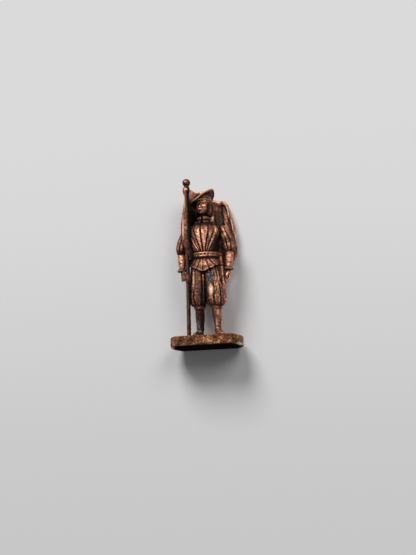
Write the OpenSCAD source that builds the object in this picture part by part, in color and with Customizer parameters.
// Toy soldier: a cast metal standard bearer on a hollow plinth, in slashed doublet and puffed breeches.
// He faces -Y. His right hand, at -X, holds the pole of a flag that hangs behind him.
// Every piece stands on the one below it, so the heights are a stack that starts at the plinth.

/* [Plinth] */
// Length of the plinth's straight sides
base_side_l = 13.3; // [12.6:0.1:16]
// How far each rounded end stands out past the straight sides
base_end_bulge = 1.85; // [1:0.05:3]
// Depth of the plinth from front to back
base_d = 9.5; // [9.3:0.1:12]
// Height of the plinth
base_h = 2.15; // [2:0.05:4]
// Thickness of the rim round the hollow
base_wall = 0.9; // [0.6:0.05:1.1]
// Thickness of the plate over the hollow
base_plate = 0.9; // [0.7:0.05:1.2]

/* [Heights] */
// From the sole to the ankle
shoe_h = 1.7; // [1.3:0.1:2.2]
// Stocking, from the ankle to the breeches
hose_h = 5.55; // [4.5:0.05:7]
// Breeches, from the knee to the waist
breeches_h = 11.45; // [10:0.05:13]
// Height of the belt
belt_h = 1.2; // [1.1:0.05:1.4]
// Doublet, from the belt to the neck
doublet_h = 7; // [6.4:0.05:8]
// Standing collar
collar_h = 1.75; // [1.4:0.05:1.9]
// Neck, from the collar's foot to the chin
neck_h = 2.35; // [2.1:0.05:2.8]
// Head, from the chin to the hat
head_h = 3.65; // [3.3:0.05:4]

/* [Body] */
// Width of the waist
waist_w = 6.4; // [6.4:0.1:7.1]
// Depth of the waist
waist_d = 3.8; // [3.5:0.1:4.1]
// Width of the doublet between the sleeve seams
chest_w = 7.3; // [7.1:0.1:7.8]
// Depth of the doublet at the chest
chest_d = 4.6; // [4.2:0.1:4.9]
// Width of the right leg of the breeches
right_breeches_w = 4.5; // [4.1:0.1:4.7]
// Width of the left leg of the breeches, which stands wider
left_breeches_w = 4.8; // [4.2:0.1:5]
// Depth of each leg of the breeches
breeches_d = 4.4; // [4:0.1:4.6]
// Width of the head at the cheekbones
head_w = 3.3; // [3:0.05:3.5]
// Depth of the head from brow to nape
head_d = 3.5; // [3.2:0.05:3.7]

/* [Legs] */
// Width of the calf
calf_w = 2.2; // [1.8:0.05:2.4]
// Length of a shoe
shoe_l = 3.7; // [3:0.1:4]
// Width of a shoe
shoe_w = 1.6; // [1.3:0.05:1.9]
// Thickness of the garter under each knee
garter_t = 0.26; // [0.14:0.02:0.4]
// Height of the garter
garter_h = 0.75; // [0.5:0.05:1]

/* [Arms] */
// Width of the puffed upper sleeve
puff_w = 2.9; // [2.6:0.05:3.1]
// Height of the puffed upper sleeve
puff_h = 6.6; // [6:0.1:7]
// Width of the lower sleeve
lower_sleeve_w = 1.85; // [1.6:0.05:2]
// Height of the lower sleeve
lower_sleeve_h = 3.6; // [3:0.05:4]
// Height of the cuff
cuff_h = 0.8; // [0.7:0.05:1.4]
// Width of the cuff's flare
cuff_w = 2.4; // [2.1:0.05:2.6]
// Length of the palm
palm_h = 1.5; // [1:0.05:1.8]

/* [Flag] */
// Radius of the pole
pole_r = 0.48; // [0.42:0.01:0.54]
// Radius of the ball on the pole
ball_r = 0.95; // [0.8:0.01:1.2]
// Height of the ball's centre above the plinth
ball_rise = 37.1; // [36.6:0.05:40]
// Thickness of the flag's cloth
flag_t = 0.5; // [0.4:0.02:0.6]
// Depth of the flag's hanging folds
fold_depth = 0.6; // [0.4:0.02:0.7]
// Length of the cloth rolled on the pole
roll_l = 13.2; // [11:0.1:14]

/* [Sword] */
// Length of the scabbard
scabbard_l = 7.9; // [6:0.1:9]
// Width of the scabbard at its mouth
scabbard_w = 0.8; // [0.6:0.05:0.9]
// Length of the grip
grip_l = 2; // [1.6:0.05:2.4]

/* [Hat] */
// Radius of the brim
brim_r = 2.85; // [2.6:0.05:3]
// Thickness of the brim
brim_t = 0.34; // [0.25:0.01:0.45]
// How much higher the turned-up side of the brim is than the low side
brim_lift = 1.75; // [1.5:0.05:2.2]
// Height of the soft crown
crown_h = 1.15; // [0.9:0.05:1.6]
// Height of the rolled band round the brow
band_h = 1.05; // [0.8:0.05:1.2]

/* [Hidden] */

// Clearance between pieces that are fitted round or against each other
seat_gap = 0.03;
// Overrun of a cut past the face that it opens
overrun = 0.5;
copper = [0.62, 0.34, 0.22];
dark_copper = [0.36, 0.2, 0.15];
bright_copper = [0.78, 0.45, 0.3];

// Where the body stands on the plinth
body_x = 0.15;
body_y = -0.8;
// Ankles and knees, measured from the body's middle
right_ankle_x = -1.45;
left_ankle_x = 2.75;
right_knee_x = -1.5;
left_knee_x = 2.45;
right_toe_out = 30;
left_toe_out = 45;
// Each ankle's width as a share of the calf's
right_ankle_share = 0.82;
left_ankle_share = 0.7;

// Heights of the seats, worked up from the plinth
ankle_z = base_h + shoe_h;
knee_z = ankle_z + hose_h;
waist_z = knee_z + breeches_h;
belt_top_z = waist_z + belt_h;
neck_z = belt_top_z + doublet_h;
chin_z = neck_z + neck_h;
hat_z = chin_z + head_h;

// Pegs that hold the shoes and the pole in blind sockets in the plinth's plate
peg_r = 0.4;
peg_gap = 0.02;
peg_share = 0.6;

// Number of points round a section, and of grooves between panes
round_n = 16;
waist_n = 40;
breeches_panes = 9;
sleeve_panes = 8;
pane_points = 4;
groove_share = 0.13;
fine_fn = 48;

// Joins rings of points, listed from the bottom up and anticlockwise from above, into one closed solid.
module skin(rings) {
    n = len(rings[0]);
    m = len(rings);
    points = [for (ring = rings) each ring, middle(rings[0]), middle(rings[m - 1])];
    faces = [
        for (i = [0:m - 2], j = [0:n - 1])
            let (a = i * n + j, b = i * n + (j + 1) % n)
            each [[a, a + n, b + n], [a, b + n, b]],
        for (j = [0:n - 1]) [m * n, j, (j + 1) % n],
        for (j = [0:n - 1]) [m * n + 1, (m - 1) * n + (j + 1) % n, (m - 1) * n + j]
    ];
    polyhedron(points, faces, convexity = 10);
}

// Joins profiles, each listed down the outside and up the inside, into a hoop that closes on itself.
module hoop(profiles) {
    n = len(profiles[0]);
    m = len(profiles);
    points = [for (profile = profiles) each profile];
    faces = [
        for (i = [0:m - 1], j = [0:n - 1])
            let (k = (i + 1) % m, l = (j + 1) % n)
            each [[i * n + j, k * n + j, k * n + l], [i * n + j, k * n + l, i * n + l]]
    ];
    polyhedron(points, faces, convexity = 10);
}

// A wall between an outer and an inner surface, each a list of rings from the top down.
module wall(outer, inner) {
    n = len(outer[0]);
    k = len(inner);
    hoop([for (j = [0:n - 1])
        concat([for (ring = outer) ring[j]], [for (i = [k - 1:-1:0]) inner[i][j]])]);
}

// A bent sheet of rings that run along one face and back along the other, with closed edges.
module sheet(rings) {
    n = len(rings[0]);
    m = len(rings);
    top = (m - 1) * n;
    points = [for (ring = rings) each ring];
    faces = [
        for (i = [0:m - 2], j = [0:n - 1])
            let (a = i * n + j, b = i * n + (j + 1) % n)
            each [[a, a + n, b + n], [a, b + n, b]],
        for (j = [0:n / 2 - 2]) each [[j, j + 1, n - 2 - j], [j, n - 2 - j, n - 1 - j]],
        for (j = [0:n / 2 - 2])
            each [[top + j, top + n - 2 - j, top + j + 1], [top + j, top + n - 1 - j, top + n - 2 - j]]
    ];
    polyhedron(points, faces, convexity = 10);
}

function middle(ring) =[for (c = [0:2]) let (v = [for (p = ring) p[c]]) sum(v) / len(v)];
function sum(v, i = 0) = i == len(v) ? 0 : v[i] + sum(v, i + 1);
function mix(a, b, t) = a + (b - a) * t;
function ease(t) = t * t * (3 - 2 * t);
function limit(v, low, high) = min(max(v, low), high);

// A smooth curve through rows of numbers, from the first at 0 to the last at 1.
function flow(rows, t) = let (
    m = len(rows) - 1,
    i = limit(floor(t * m), 0, m - 1),
    f = t * m - i,
    p0 = rows[max(i - 1, 0)],
    p1 = rows[i],
    p2 = rows[i + 1],
    p3 = rows[min(i + 2, m)]
) (2 * p1 + (p2 - p0) * f + (2 * p0 - 5 * p1 + 4 * p2 - p3) * f * f
    + (3 * p1 - p0 - 3 * p2 + p3) * f * f * f) / 2;

// 1 in the groove between two panes and 0 over most of each pane.
function slash(s) = pow(abs(cos(180 * s)), 6);
function hump(v, centre, width) = exp(-pow((v - centre) / width, 2));
function bulge(v, power) = sign(v) * pow(abs(v), 2 / power);

// A level section: an oval, or a squarer oval where power is over 2, with grooves between panes.
function section(x, y, z, a, b, n, power = 2, panes = 0, groove = 0, phase = 0) = [
    for (i = [0:n - 1])
        let (t = 360 * i / n, g = 1 - groove * slash(panes * t / 360 + phase))
        [x + a * g * bulge(cos(t), power), y + b * g * bulge(sin(t), power), z]
];

// The angle of each column of points round a section whose front columns fan out by a given spread.
function fan_angle(i, n, front, spread) = i <= 2 * front
    ? 270 + (i - front) * spread
    : mix(270 + front * spread, 630 - front * spread, (i - 2 * front) / (n - 2 * front));
function from_front(t) = abs((t + 270) % 360 - 180);

// Flattens the part of a ring that passes an upright plane, so that two pieces meet on it.
function right_side_of(ring, x) = [for (p = ring) [max(p[0], x), p[1], p[2]]];
function left_side_of(ring, x) = [for (p = ring) [min(p[0], x), p[1], p[2]]];
function turned(p, angle) = [p[0] * cos(angle) - p[1] * sin(angle), p[0] * sin(angle) + p[1] * cos(angle)];

// Moves a point off the pole, to at least a given distance from its axis.
function off_pole(p, r) = let (d = [p[0] - pole_x, p[1] - pole_y], far = norm(d))
    far < r ? [pole_x + d[0] * r / far, pole_y + d[1] * r / far, p[2]] : p;

// Plinth

// Each end is an arc across the whole depth, with its centre on the plinth's long axis.
base_end_r = (pow(base_d / 2, 2) + pow(base_end_bulge, 2)) / (2 * base_end_bulge);
base_end_x = base_side_l / 2 + base_end_bulge - base_end_r;

end_steps = 16;

module plinth_outline(inset) {
    r = base_end_r - inset;
    half_angle = asin((base_d / 2 - inset) / r);
    polygon([for (side = [1, -1], i = [0:end_steps])
        let (a = mix(-half_angle, half_angle, i / end_steps))
        [side * (base_end_x + r * cos(a)), side * r * sin(a)]]);
}

module plinth() {
    sockets = [[body_x + right_ankle_x, body_y], [body_x + left_ankle_x, body_y], [pole_x, pole_y]];
    color(copper) difference() {
        linear_extrude(base_h) plinth_outline(0);
        translate([0, 0, -overrun])
            linear_extrude(base_h - base_plate + overrun) plinth_outline(base_wall);
        for (p = sockets)
            translate([p[0], p[1], base_h - peg_share * base_plate - peg_gap])
                cylinder(h = base_plate, r = peg_r + peg_gap, $fn = fine_fn);
    }
}

module peg(x, y) {
    translate([x, y, base_h - peg_share * base_plate])
        cylinder(h = base_plate, r = peg_r, $fn = fine_fn);
}

// Legs

// Rows: height, half width, half length and shift towards the toe, as shares.
shoe_shares = [[0, 0.94, 0.98, 0.4], [0.1, 1, 1, 0.41], [0.32, 0.98, 0.96, 0.38], [0.52, 0.92, 0.8, 0.3],
    [0.7, 0.9, 0.62, 0.16], [0.86, 0.95, 0.52, 0.04], [1, 1, 0.5, 0]];

function shoe_ring(x, toe_out, t) = let (row = flow(shoe_shares, t))
    [for (p = section(0, -row[3] * shoe_l / 2, 0, row[1] * shoe_w / 2, row[2] * shoe_l / 2, round_n, 2.2))
        let (q = turned(p, toe_out)) [body_x + x + q[0], body_y + q[1], base_h + row[0] * shoe_h]];

module shoe(x, toe_out) {
    color(copper) union() {
        skin([for (i = [0:8]) shoe_ring(x, toe_out, i / 8)]);
        peg(body_x + x, body_y);
    }
}

// Rows: height, and how far the stocking has drawn in from the calf to the ankle, as shares.
hose_shares = [[0, 1], [0.16, 0.98], [0.34, 0.6], [0.52, 0.16], [0.68, 0], [0.84, 0.12], [1, 0.3]];
calf_back_share = 0.08;

function hose_ring(ankle_x, knee_x, ankle_share, t, grow = 0) = let (
    row = flow(hose_shares, t),
    r = (1 - row[1] * (1 - ankle_share)) * calf_w / 2 + grow
) section(body_x + mix(ankle_x, knee_x, row[0]), body_y + calf_back_share * calf_w * sin(180 * row[0]),
    ankle_z + row[0] * hose_h, r, r * 1.04, round_n);

module hose(ankle_x, knee_x, ankle_share) {
    color(copper) skin([for (i = [0:8]) hose_ring(ankle_x, knee_x, ankle_share, i / 8)]);
}

garter_shares = [0.35, 1, 0.5, 1, 0.35];

// A garter of two cords round the stocking's top.
module garter(ankle_x, knee_x, ankle_share) {
    low = 1 - garter_h / hose_h;
    color(dark_copper) wall(
        [for (i = [0:4]) hose_ring(ankle_x, knee_x, ankle_share, mix(1, low, i / 4),
            seat_gap + garter_t * garter_shares[i])],
        [for (i = [0:4]) hose_ring(ankle_x, knee_x, ankle_share, mix(1, low, i / 4), seat_gap)]);
}

// Rows: height, half width and half depth of one leg of the breeches, as shares.
breeches_shares = [[0, 0.56, 0.56], [0.03, 0.8, 0.8], [0.1, 0.95, 0.95], [0.22, 1, 1], [0.38, 1, 1],
    [0.55, 0.96, 0.98], [0.72, 0.88, 0.92], [0.88, 0.78, 0.83], [1, 0.72, 0.76]];
hip_gap = 0.12;

function hip_x(w) = waist_w / 2 - hip_gap - breeches_shares[8][1] * w / 2;

function breeches_ring(side, knee_x, w, t) = let (
    row = flow(breeches_shares, t),
    x = body_x + mix(knee_x, side * hip_x(w), ease(row[0])),
    depth = groove_share * (1 - 0.5 * row[0]),
    ring = section(x, body_y, knee_z + row[0] * breeches_h, row[1] * w / 2, row[2] * breeches_d / 2,
        breeches_panes * pane_points, 2.2, breeches_panes, depth, side > 0 ? 0.25 : 0.75)
) side > 0 ? right_side_of(ring, body_x + seat_gap / 2) : left_side_of(ring, body_x - seat_gap / 2);

module breeches(side, knee_x, w) {
    color(copper) skin([for (i = [0:12]) breeches_ring(side, knee_x, w, i / 12)]);
}

// Waist

peplum_t = 0.34;
peplum_side_l = 1.5;
peplum_front_l = 3.6;
peplum_flare = 0.7;
peplum_n = 42;
tab_points = 3;
front_tabs = 2;
tab_top_angle = 8;
tab_low_angle = 21;

function front_point(t) = pow(max(0, 1 - from_front(t) / 75), 1.2);

// The skirt of the doublet: tabs that fan out from the middle of the belt, longest at the front.
function peplum_ring(s, outer) = [
    for (i = [0:peplum_n - 1])
        let (
            spread = mix(tab_top_angle, tab_low_angle, s) / tab_points,
            t = fan_angle(i, peplum_n, front_tabs * tab_points, spread),
            l = mix(peplum_side_l, peplum_front_l, front_point(t)),
            out = outer ? peplum_t * (i % tab_points == 0 ? 0.45 : 1) : 0,
            a = waist_w / 2 + hip_gap + peplum_flare * s + out,
            b = waist_d / 2 + 2 * hip_gap + peplum_flare * s * 0.6 + out,
            p = [body_x + a * cos(t), body_y + b * sin(t), waist_z - seat_gap - l * s]
        )
        off_pole(p, pole_r + 6 * seat_gap + (outer ? 0 : 0.6 * peplum_t))
];

module peplum() {
    color(copper) wall([for (i = [0:4]) peplum_ring(i / 4, true)], [for (i = [0:4]) peplum_ring(i / 4, false)]);
}

belt_t = 0.3;
belt_shares = [0.55, 1, 0.8, 1, 0.55];

function waist_ring(z, grow) = section(body_x, body_y, z, waist_w / 2 + grow, waist_d / 2 + grow, waist_n);

module belt() {
    color(bright_copper) wall(
        [for (i = [0:4]) waist_ring(belt_top_z - belt_h * i / 4, seat_gap + belt_t * belt_shares[i])],
        [for (z = [belt_top_z, waist_z]) waist_ring(z, seat_gap)]);
}

buckle_w = 1.9;
buckle_h = 1.1;
buckle_t = 0.36;
buckle_bar = 0.3;

module buckle() {
    y = body_y - waist_d / 2 - seat_gap - belt_t;
    color(bright_copper) translate([body_x, y - seat_gap, waist_z + belt_h / 2]) rotate([90, 0, 0]) {
        difference() {
            linear_extrude(buckle_t) square([buckle_w, buckle_h], center = true);
            translate([0, 0, -overrun]) linear_extrude(buckle_t + 2 * overrun)
                square([buckle_w - 2 * buckle_bar, buckle_h - 2 * buckle_bar], center = true);
        }
        linear_extrude(buckle_t) square([buckle_bar, buckle_h], center = true);
    }
}

// Doublet

// Rows: height, half width and half depth above the belt, as shares.
doublet_shares = [[0, 0.87, 0.86], [0.12, 0.9, 0.95], [0.3, 0.96, 1], [0.5, 1.04, 1], [0.66, 1.1, 0.96],
    [0.78, 1.08, 0.88], [0.89, 0.86, 0.78], [1, 0.48, 0.68]];
// The front is cut into panes that fan out from the middle of the belt to the shoulders.
doublet_n = 54;
lapels = 3;
lapel_points = 3;
back_points = 4;
lapel_angle = 24;
doublet_groove_share = 0.1;

function doublet_angle(i, h) =
    fan_angle(i, doublet_n, lapels * lapel_points, lapel_angle * mix(0.3, 1, h) / lapel_points);
function doublet_groove(i) = i <= 2 * lapels * lapel_points
    ? (i % lapel_points == 0 ? 1 : 0)
    : (i % back_points == 0 ? 0.6 : 0);

function doublet_section(h, z, a, b, power, groove) = [
    for (i = [0:doublet_n - 1])
        let (t = doublet_angle(i, h), g = 1 - groove * doublet_groove(i))
        [body_x + a * g * bulge(cos(t), power), body_y + b * g * bulge(sin(t), power), z]
];

function doublet_ring(t) = let (
    row = flow(doublet_shares, t),
    z = belt_top_z + seat_gap + row[0] * (doublet_h - seat_gap),
    ring = doublet_section(row[0], z, row[1] * chest_w / 2, row[2] * chest_d / 2, 2.3,
        doublet_groove_share * (1 - 0.5 * row[0]))
) right_side_of(left_side_of(ring, body_x + chest_w / 2), body_x - chest_w / 2);

module doublet() {
    color(copper) skin(concat(
        [for (z = [waist_z, belt_top_z + seat_gap]) doublet_section(0, z, waist_w / 2, waist_d / 2, 2, 0)],
        [for (i = [1:12]) doublet_ring(i / 12)]));
}

collar_r = 1.15;
collar_t = 0.38;
collar_slit = 14;
// Rows: thickness and height of the two rolls of the collar, as shares.
collar_shares = [[0, 0], [1.2, 0.1], [1.35, 0.3], [0.95, 0.5], [1.3, 0.7], [1.15, 0.94], [0, 1]];

function collar_profile(t) = [for (p = collar_shares)
    let (out = collar_r + collar_t * p[0])
    [body_x + out * cos(t), body_y + out * sin(t), neck_z + seat_gap + (collar_h - seat_gap) * p[1]]];

module collar() {
    from = -90 + collar_slit;
    to = 270 - collar_slit;
    color(dark_copper) skin([for (i = [0:20]) collar_profile(mix(to, from, i / 20))]);
}

// Sleeves

shoulder_in = 0.55;
right_elbow_out = 2.05;
left_elbow_out = 2.2;
right_wrist_out = 1.6;
left_wrist_out = 1.95;
shoulder_drop = 0.3;
arm_back = 0.35;
right_hand_ahead = 0.95;
left_hand_ahead = 0.25;

puff_z = neck_z - shoulder_drop - puff_h;
cuff_top_z = puff_z - lower_sleeve_h;
hand_z = cuff_top_z - cuff_h;

function seam_x(side) = body_x + side * (chest_w / 2 + seat_gap);
function shoulder_x(side) = body_x + side * (chest_w / 2 + shoulder_in);
function elbow_x(side) = body_x + side * (chest_w / 2 + (side > 0 ? left_elbow_out : right_elbow_out));
function wrist_x(side) = body_x + side * (chest_w / 2 + (side > 0 ? left_wrist_out : right_wrist_out));
function wrist_y(side) = body_y - (side > 0 ? left_hand_ahead : right_hand_ahead);

// Rows: height from the top, half width, and how far the middle has moved out towards the elbow, as shares.
puff_shares = [[0, 0.4, 0], [0.06, 0.7, 0.02], [0.18, 0.92, 0.12], [0.34, 0.98, 0.36], [0.52, 1.02, 0.66],
    [0.7, 1, 0.88], [0.86, 0.88, 0.98], [0.95, 0.76, 1], [1, 0.6, 1]];

function puff_ring(side, t) = let (
    row = flow(puff_shares, 1 - t),
    r = row[1] * puff_w / 2,
    ring = section(mix(shoulder_x(side), elbow_x(side), row[2]), body_y + arm_back, puff_z + (1 - row[0]) * puff_h,
        r, r, sleeve_panes * pane_points, 2, sleeve_panes, groove_share, 0.25)
) side > 0 ? right_side_of(ring, seam_x(side)) : left_side_of(ring, seam_x(side));

module puff_sleeve(side) {
    color(copper) skin([for (i = [0:10]) puff_ring(side, i / 10)]);
}

// Rows: height from the elbow and half width of the lower sleeve, as shares.
lower_shares = [[0, 0.92], [0.12, 1], [0.4, 1.02], [0.7, 0.94], [0.9, 0.84], [1, 0.78]];

function lower_ring(side, t) = let (row = flow(lower_shares, 1 - t), r = row[1] * lower_sleeve_w / 2)
    section(mix(elbow_x(side), wrist_x(side), row[0]), mix(body_y + arm_back, wrist_y(side), row[0]),
        puff_z - seat_gap - row[0] * (lower_sleeve_h - seat_gap), r, r, round_n);

module lower_sleeve(side) {
    color(bright_copper) skin([for (i = [0:6]) lower_ring(side, i / 6)]);
}

cuff_shares = [0.74, 0.84, 0.97, 1, 0.88];

module cuff(side) {
    color(dark_copper) skin([for (i = [4:-1:0])
        let (r = cuff_shares[i] * cuff_w / 2)
        section(wrist_x(side), wrist_y(side), cuff_top_z - seat_gap - (cuff_h - seat_gap) * i / 4, r, r, round_n)]);
}

// Hands

finger_r = 0.29;
// Points of a finger and of the thumb, as shares of the palm's length.
finger_shares = [[0.1, -0.75], [-0.05, -1.3], [-0.45, -1.55], [-0.62, -1.2]];
thumb_shares = [[-0.1, -0.5, -0.35], [-0.35, -0.75, -0.8], [-0.4, -0.7, -1.2]];

module stroke(points, r) {
    for (i = [0:len(points) - 2]) hull() {
        translate(points[i]) sphere(r, $fn = 6);
        translate(points[i + 1]) sphere(r * 0.92, $fn = 6);
    }
}

module palm() {
    hull() {
        translate([0, 0, -finger_r * 1.4]) scale([1, 1.4, 1]) sphere(finger_r * 1.35, $fn = 8);
        translate([0.1 * palm_h, 0, -palm_h * 0.85]) scale([1, 2.1, 1]) sphere(finger_r * 1.25, $fn = 8);
    }
}

// The left hand hangs half closed, with the fingers curled in towards the body.
module left_hand() {
    color(copper) translate([wrist_x(1), wrist_y(1), hand_z - seat_gap]) rotate([0, 0, 20]) {
        palm();
        for (i = [0:3]) {
            y = (1.5 - i) * finger_r * 1.5;
            drop = finger_r * 0.3 * abs(i - 1);
            stroke([for (p = finger_shares) [p[0] * palm_h, y, p[1] * palm_h - drop]], finger_r);
        }
        stroke([for (p = thumb_shares) p * palm_h], finger_r);
    }
}

// The right hand closes round the pole, one finger above the other.
module right_hand() {
    x = pole_x - wrist_x(-1);
    y = pole_y - wrist_y(-1) - pole_r - finger_r;
    color(copper) difference() {
        translate([wrist_x(-1), wrist_y(-1), hand_z - seat_gap]) {
            palm();
            for (i = [0:3]) {
                z = -palm_h * 0.55 - i * finger_r * 1.75;
                stroke([[0, 0, z], [x * 0.5, y, z - finger_r],
                    [x + pole_r, y + finger_r * 0.4, z - finger_r * 1.4]], finger_r);
            }
        }
        translate([pole_x, pole_y, 0]) cylinder(h = hand_z, r = pole_r + seat_gap, $fn = round_n);
    }
}

// Head

head_yaw = -16;
head_side = 0.1;
head_ahead = 0.25;
nose_reach = 0.5;
skull_n = 36;

// Rows: height, half width, depth before and depth behind the middle, as shares.
skull_shares = [[0, 0.34, 0.52, 0.3], [0.07, 0.56, 0.72, 0.5], [0.17, 0.74, 0.8, 0.72], [0.3, 0.87, 0.82, 0.86],
    [0.46, 0.95, 0.84, 0.96], [0.62, 1, 0.85, 1], [0.78, 1, 0.86, 1], [0.92, 0.98, 0.87, 1], [1.05, 0.9, 0.82, 0.94]];

// Angles round the head, closer together in front, where the face is.
function face_angle(i) = let (s = 2 * i / skull_n - 1) 180 * (0.42 * s + 0.58 * pow(s, 3));

// How far the face stands out, by height share and angle from the nose.
function relief(h, a) = nose_reach * (
    hump(h, 0.44, 0.1) * hump(a, 0, 11) * 0.95
    + hump(h, 0.58, 0.13) * hump(a, 0, 8) * 0.55
    + hump(h, 0.78, 0.08) * hump(abs(a), 24, 16) * 0.34
    - hump(h, 0.66, 0.07) * hump(abs(a), 26, 11) * 0.45
    + hump(h, 0.48, 0.1) * hump(abs(a), 38, 14) * 0.22
    + hump(h, 0.27, 0.05) * hump(a, 0, 16) * 0.3
    - hump(h, 0.17, 0.035) * hump(a, 0, 15) * 0.14
    + hump(h, 0.06, 0.08) * hump(a, 0, 18) * 0.35);

function head_point(h, row, a, grow) = let (
    across = row[1] * head_w / 2 + grow + relief(h, a),
    along = (cos(a) > 0 ? row[2] : row[3]) * head_d / 2 + grow + relief(h, a),
    q = turned([across * sin(a), -along * cos(a)], head_yaw)
) [body_x - head_side + q[0], body_y - head_ahead + q[1], chin_z + h * head_h];

function head_ring(t) = let (row = flow(skull_shares, t))
    [for (i = [0:skull_n - 1]) head_point(row[0], row, face_angle(i), 0)];

neck_r = 1.05;

function neck_ring(t) = section(body_x - head_side * t, body_y, neck_z + seat_gap + t * neck_h * 1.1,
    neck_r, neck_r, round_n);

module head() {
    color(copper) union() {
        skin([for (i = [0:16]) head_ring(i / 16)]);
        skin([neck_ring(0), neck_ring(1)]);
    }
}

// A thin tube along a path of points, thick in the middle and pointed at both ends.
module tapered(points, r, n = 6) {
    last = len(points) - 1;
    skin([for (i = [0:last])
        let (
            d = points[min(i + 1, last)] - points[max(i - 1, 0)],
            along = d / norm(d),
            side = cross(along, [0, 0, 1]) / norm(cross(along, [0, 0, 1])),
            up = cross(side, along),
            size = r * max(0.12, sin(180 * i / last))
        )
        [for (j = [0:n - 1]) points[i] + side * size * cos(360 * j / n) - up * size * sin(360 * j / n)]]);
}

moustache_r = 0.17;

module moustache() {
    row = flow(skull_shares, 0.42);
    color(dark_copper) tapered([for (i = [-5:5])
        head_point(0.335 - 0.026 * abs(i) * (1 - abs(i) / 8), row, i * 7.5, moustache_r * 1.45)], moustache_r);
}

hair_t = 0.42;
hair_open = 62;
// Rows: height down the bob and how far it stands out, as shares.
hair_shares = [[0.78, 0.5], [0.68, 0.8], [0.54, 0.95], [0.36, 1.05], [0.18, 1.1], [0.04, 0.8]];

// A section of the bobbed hair at an angle from the nose: down the outside, then up beside the head.
function hair_section(a) = let (lock = 1 - 0.16 * slash(a / 24), row = flow(skull_shares, 0.66)) concat(
    [for (p = hair_shares) head_point(p[0], row, a, seat_gap + hair_t * lock * p[1])],
    [for (i = [5, 0]) head_point(hair_shares[i][0], row, a, seat_gap)]
);

module hair() {
    color(dark_copper) skin([for (i = [0:30]) hair_section(mix(hair_open, 360 - hair_open, i / 30))]);
}

// Hat

hat_tilt = 8;
hat_n = 32;
brow_share = 0.9;
band_t = 0.25;
band_z = hat_z - 0.42 * band_h;
brim_z = band_z + band_h + seat_gap;

// A level oval round the head, tilted so that the front of the hat is higher.
function hat_point(t, grow, z) = let (
    deep = (sin(t) < 0 ? brow_share : 1) * head_d / 2,
    q = turned([(head_w / 2 + seat_gap + grow) * cos(t), (deep + seat_gap + grow) * sin(t)], head_yaw)
) [body_x - head_side + q[0], body_y - head_ahead + q[1], z - q[1] * tan(hat_tilt)];

function hat_ring(grow, z) = [for (i = [0:hat_n - 1]) hat_point(360 * i / hat_n, grow, z)];

// A band of two rolls round the brow.
module hat_band() {
    color(bright_copper) wall(
        [for (i = [0:6]) hat_ring(band_t * (0.45 + 0.55 * pow(abs(sin(60 * i)), 0.6)), band_z + band_h * (1 - i / 6))],
        [for (z = [band_z + band_h, band_z]) hat_ring(0, z)]);
}

// Rows: height of the crown and how far it draws in from the band, as shares.
crown_shares = [[0, 0], [0.3, 0], [0.55, 0.06], [0.75, 0.2], [0.9, 0.45], [1, 0.8]];

module hat_crown() {
    color(dark_copper) skin([for (i = [0:6])
        let (row = flow(crown_shares, i / 6)) hat_ring(band_t - row[1] * head_w / 2, brim_z + row[0] * crown_h)]);
}

// How high the brim's edge is, at each eighth of a turn from his left, as shares of the lift.
brim_shares = [1.45, 0.95, 0.35, -0.1, -0.5, -0.45, -0.1, 0.78, 1.45];
// The share of the lift at which the brim's edge is level with its root.
brim_low_share = 0.485;

// The brim from its root, at s = 0, to its edge, at s = 1.
function brim_point(t, s, side) = let (
    up = flow(brim_shares, t / 360),
    root = hat_point(t, band_t + seat_gap, brim_z + brim_t / 2 + seat_gap),
    r = brim_r * (1 - 0.05 * up),
    edge = [body_x - head_side + r * cos(t + head_yaw), body_y - head_ahead + r * sin(t + head_yaw)],
    rise = brim_lift * (up - brim_low_share) * (ease(s) * 0.35 + s * 0.65)
) [mix(root[0], edge[0], s), mix(root[1], edge[1], s), root[2] + rise + side * brim_t / 2];

module hat_brim() {
    color(copper) hoop([for (i = [0:hat_n - 1])
        let (t = 360 * i / hat_n)
        concat([for (j = [0:4]) brim_point(t, j / 4, 1)], [for (j = [4:-1:0]) brim_point(t, j / 4, -1)])]);
}

// Flag

// The pole stands ahead of the hand that holds it, and just clear of the cuff.
pole_ahead = 0.9;
pole_aside = sqrt(pow(cuff_w / 2 + pole_r + 2 * seat_gap, 2) - pow(pole_ahead, 2));
pole_x = wrist_x(-1) + pole_aside;
pole_y = wrist_y(-1) - pole_ahead;
ball_z = base_h + ball_rise;
pole_top_z = ball_z - ball_r;
spigot_r = 0.28;
spigot_h = 0.6;

module flag_pole() {
    color(copper) union() {
        translate([pole_x, pole_y, base_h]) cylinder(h = pole_top_z - base_h, r = pole_r, $fn = fine_fn);
        peg(pole_x, pole_y);
        translate([pole_x, pole_y, pole_top_z - overrun])
            cylinder(h = spigot_h + overrun, r = spigot_r, $fn = fine_fn);
    }
}

ball_foot_r = 0.62;

// The ball is turned in one piece with its foot and bored for the pole's spigot.
module pole_ball() {
    foot = asin(ball_foot_r / ball_r);
    color(copper) translate([pole_x, pole_y, ball_z]) difference() {
        rotate_extrude($fn = fine_fn) polygon(concat(
            [[0, -ball_r], [ball_foot_r, -ball_r]],
            [for (i = [0:16]) let (a = mix(foot, 180, i / 16)) [ball_r * sin(a), -ball_r * cos(a)]]));
        translate([0, 0, -ball_r - overrun])
            cylinder(h = overrun + spigot_h + peg_gap, r = spigot_r + peg_gap, $fn = fine_fn);
    }
}

roll_top = pole_top_z - seat_gap;
roll_t = 0.45;
// Rows: height from the top, then the cloth's thickness across and along, and its shift to his left, as shares.
roll_shares = [[0, 0.15, 0.15, 0], [0.04, 0.75, 0.7, -0.1], [0.1, 0.65, 0.65, -0.2], [0.2, 0.18, 0.3, 0],
    [0.34, 0.37, 0.25, -0.15], [0.5, 0.8, 0.3, -0.5], [0.66, 1.2, 0.35, -0.8], [0.8, 1.45, 0.4, -0.85],
    [0.91, 1.45, 0.4, -0.85], [1, 1.1, 0.3, -0.5]];

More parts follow.
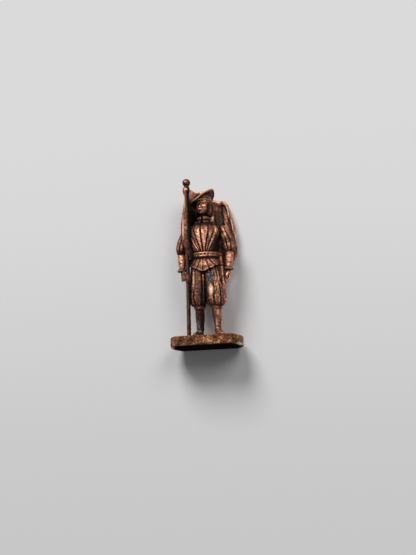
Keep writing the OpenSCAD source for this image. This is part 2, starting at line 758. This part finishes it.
function roll_ring(t) = let (row = flow(roll_shares, t), core = pole_r + seat_gap)
    section(pole_x + row[3] * roll_t, pole_y, roll_top - row[0] * roll_l, core + row[1] * roll_t,
        core + row[2] * roll_t, round_n, 2, 3, 0.05, 0.1 + row[0]);

module flag_roll() {
    bore = pole_r + seat_gap;
    color(bright_copper) wall([for (i = [0:16]) roll_ring(i / 16)],
        [for (z = [roll_top, roll_top - roll_l]) section(pole_x, pole_y, z, bore, bore, round_n)]);
}

tail_l = 3.6;
tail_w = 1.9;
tail_t = 0.3;
tail_aside = 0.85;

// The rolled cloth ends in a point that hangs in front of the pole and runs off to its left.
module flag_tail() {
    top = roll_top - roll_l - seat_gap;
    y = pole_y - pole_r - seat_gap - tail_t;
    color(bright_copper) skin([for (i = [0:5])
        let (t = 1 - i / 5)
        section(pole_x + mix(-tail_w / 5, tail_aside, t), y, top - t * tail_l, mix(tail_w / 2, tail_t / 3, t), tail_t, 12)]);
}

// How far the cloth reaches across from the pole to its fly edge, and back from the pole.
drape_reach = 10.6;
drape_back = 5.9;
// The cloth's plan as shares of that reach and depth.
drape_plan_shares = [[0.01, 0.15], [0.03, 0.5], [0.05, 0.84], [0.16, 0.95], [0.36, 1], [0.6, 0.99],
    [0.82, 0.95], [1, 0.86]];
// How far the cloth's top and lower edges are below the pole's top, as shares of the ball's rise.
drape_top_shares = [0.014, 0.003, 0, 0.008, 0.036, 0.069, 0.093, 0.274];
drape_low_shares = [0.245, 0.245, 0.245, 0.56, 0.71, 0.7, 0.53, 0.435];
drape_us = 32;
drape_vs = 7;

// How deep the folds are across the cloth: none at the pole, and deeper towards the lower edge.
function drape_fold(u, v) = fold_depth * limit((u - 0.2) * 6, 0, 1) * (0.35 + 0.65 * (1 - v))
    * (0.55 + 0.45 * sin(360 * (4.3 * u + 0.25 * v)) + 0.25 * sin(360 * (9.1 * u + 0.4 * v)));

function drape_plan(u) = let (s = flow(drape_plan_shares, u))
    [pole_x + s[0] * drape_reach, pole_y + s[1] * drape_back];

function drape_face(u, v, side) = let (
    p = drape_plan(u),
    q = drape_plan(min(u + 0.01, 1)) - drape_plan(max(u - 0.01, 0)),
    n = [-q[1], q[0]] / norm(q),
    low = mix(flow(drape_low_shares, u), flow(drape_top_shares, u), v),
    hem = 1 + 0.35 * hump(v, 1, 0.06) + 0.5 * hump(u, 1, 0.03),
    out = p + n * (drape_fold(u, v) + side * hem * flag_t / 2)
) [out[0], out[1], pole_top_z - low * ball_rise];

module flag_drape() {
    color(copper) sheet([for (i = [0:drape_vs])
        let (v = i / drape_vs)
        concat([for (j = [0:drape_us]) drape_face(j / drape_us, v, -1)],
            [for (j = [drape_us:-1:0]) drape_face(j / drape_us, v, 1)])]);
}

// Sword

sword_out = 0.75;
sword_ahead = 1.5;
sword_rise = 0.75;
sword_lean_x = 6.2;
sword_lean_y = 3;
grip_r = 0.26;
guard_w = 1.5;
guard_t = 0.32;
pommel_r = 0.42;
chape_h = 0.9;
chape_shares = [0.25, 0.7, 0.92, 1];

// Places what follows at a distance down the leaning sword, measured from the top of the pommel.
module on_sword(down) {
    translate([body_x + waist_w / 2 + sword_out, body_y - sword_ahead, waist_z + sword_rise])
        rotate([-sword_lean_y, -sword_lean_x, 0]) translate([0, 0, -down]) children();
}

function blade_ring(z, share) = section(0, 0, z, scabbard_w / 2 * share * 0.62, scabbard_w / 2 * share, 12, 2.6);

module scabbard() {
    color(dark_copper) on_sword(pommel_r * 2 + grip_l + guard_t + seat_gap)
        skin([for (i = [4:-1:0]) blade_ring(-scabbard_l * i / 4, mix(1, 0.8, i / 4))]);
}

module chape() {
    color(bright_copper) on_sword(pommel_r * 2 + grip_l + guard_t + scabbard_l + 2 * seat_gap)
        skin([for (i = [0:3]) blade_ring(-chape_h * (1 - i / 3), chape_shares[i] * 0.86)]);
}

module sword_guard() {
    color(bright_copper) on_sword(pommel_r * 2 + grip_l + guard_t) skin([for (i = [0:2])
        let (share = i == 1 ? 1 : 0.85)
        section(0, 0, guard_t * i / 2, guard_t * share, guard_w / 2 * share, 12, 2.6)]);
}

module sword_grip() {
    color(dark_copper) on_sword(pommel_r * 2 + grip_l - seat_gap)
        cylinder(h = grip_l - 2 * seat_gap, r = grip_r, $fn = fine_fn);
}

module sword_pommel() {
    color(bright_copper) on_sword(pommel_r) difference() {
        sphere(pommel_r, $fn = fine_fn);
        translate([0, 0, -pommel_r * 1.9]) cylinder(h = pommel_r, r = pommel_r, $fn = fine_fn);
    }
}

plinth();
shoe(right_ankle_x, -right_toe_out);  // right_shoe
shoe(left_ankle_x, left_toe_out);  // left_shoe
hose(right_ankle_x, right_knee_x, right_ankle_share);  // right_hose
hose(left_ankle_x, left_knee_x, left_ankle_share);  // left_hose
garter(right_ankle_x, right_knee_x, right_ankle_share);  // right_garter
garter(left_ankle_x, left_knee_x, left_ankle_share);  // left_garter
breeches(-1, right_knee_x, right_breeches_w);  // right_breeches
breeches(1, left_knee_x, left_breeches_w);  // left_breeches
peplum();
belt();
buckle();
doublet();
collar();
puff_sleeve(-1);  // right_puff_sleeve
puff_sleeve(1);  // left_puff_sleeve
lower_sleeve(-1);  // right_lower_sleeve
lower_sleeve(1);  // left_lower_sleeve
cuff(-1);  // right_cuff
cuff(1);  // left_cuff
right_hand();
left_hand();
head();
moustache();
hair();
hat_band();
hat_crown();
hat_brim();
flag_pole();
pole_ball();
flag_roll();
flag_tail();
flag_drape();
scabbard();
chape();
sword_guard();
sword_grip();
sword_pommel();
